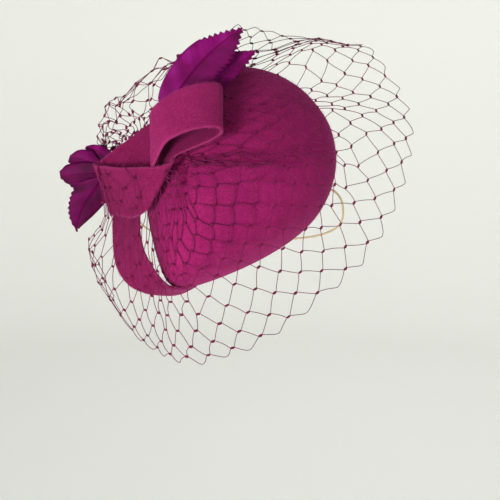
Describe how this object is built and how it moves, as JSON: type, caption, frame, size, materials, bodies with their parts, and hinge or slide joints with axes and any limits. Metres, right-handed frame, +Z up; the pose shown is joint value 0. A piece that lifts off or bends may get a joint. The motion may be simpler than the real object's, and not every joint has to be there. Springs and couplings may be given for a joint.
{
  "type": "fascinator hat with a felt bow, plumes and a net veil",
  "caption": "Teardrop felt fascinator worn tilted on the head, with a folded felt bow, dyed plumes, a standing net veil and a thin head elastic.",
  "frame": {"origin": "the middle of the crown's rim, where the hat sits on the head", "axes": "+Z up as worn; the wearer faces -Y; +X is to the wearer's left, the viewer's right"},
  "size_m": [0.246, 0.2255, 0.2129],
  "materials": {
    "crown_felt": "blocked wool felt, matt, with a short soft nap",
    "bow_felt": "cut felt strip, matt, with a paler cut edge",
    "plume": "dyed feather vane, satin, with a notched edge",
    "netting": "knotted veiling thread, slightly shiny",
    "elastic": "thin covered elastic, skin tone, matt"
  },
  "bodies": {
    "root": {"crown": "crown_felt", "rim_band": "bow_felt", "collar": "bow_felt", "loop": "bow_felt", "plume_upper_main": "plume", "plume_upper_second": "plume", "plume_lower_down": "plume", "plume_lower_left": "plume", "plume_lower_upper": "plume", "plume_lower_back": "plume", "veil": "netting", "head_elastic": "elastic"}
  },
  "joints": []
}
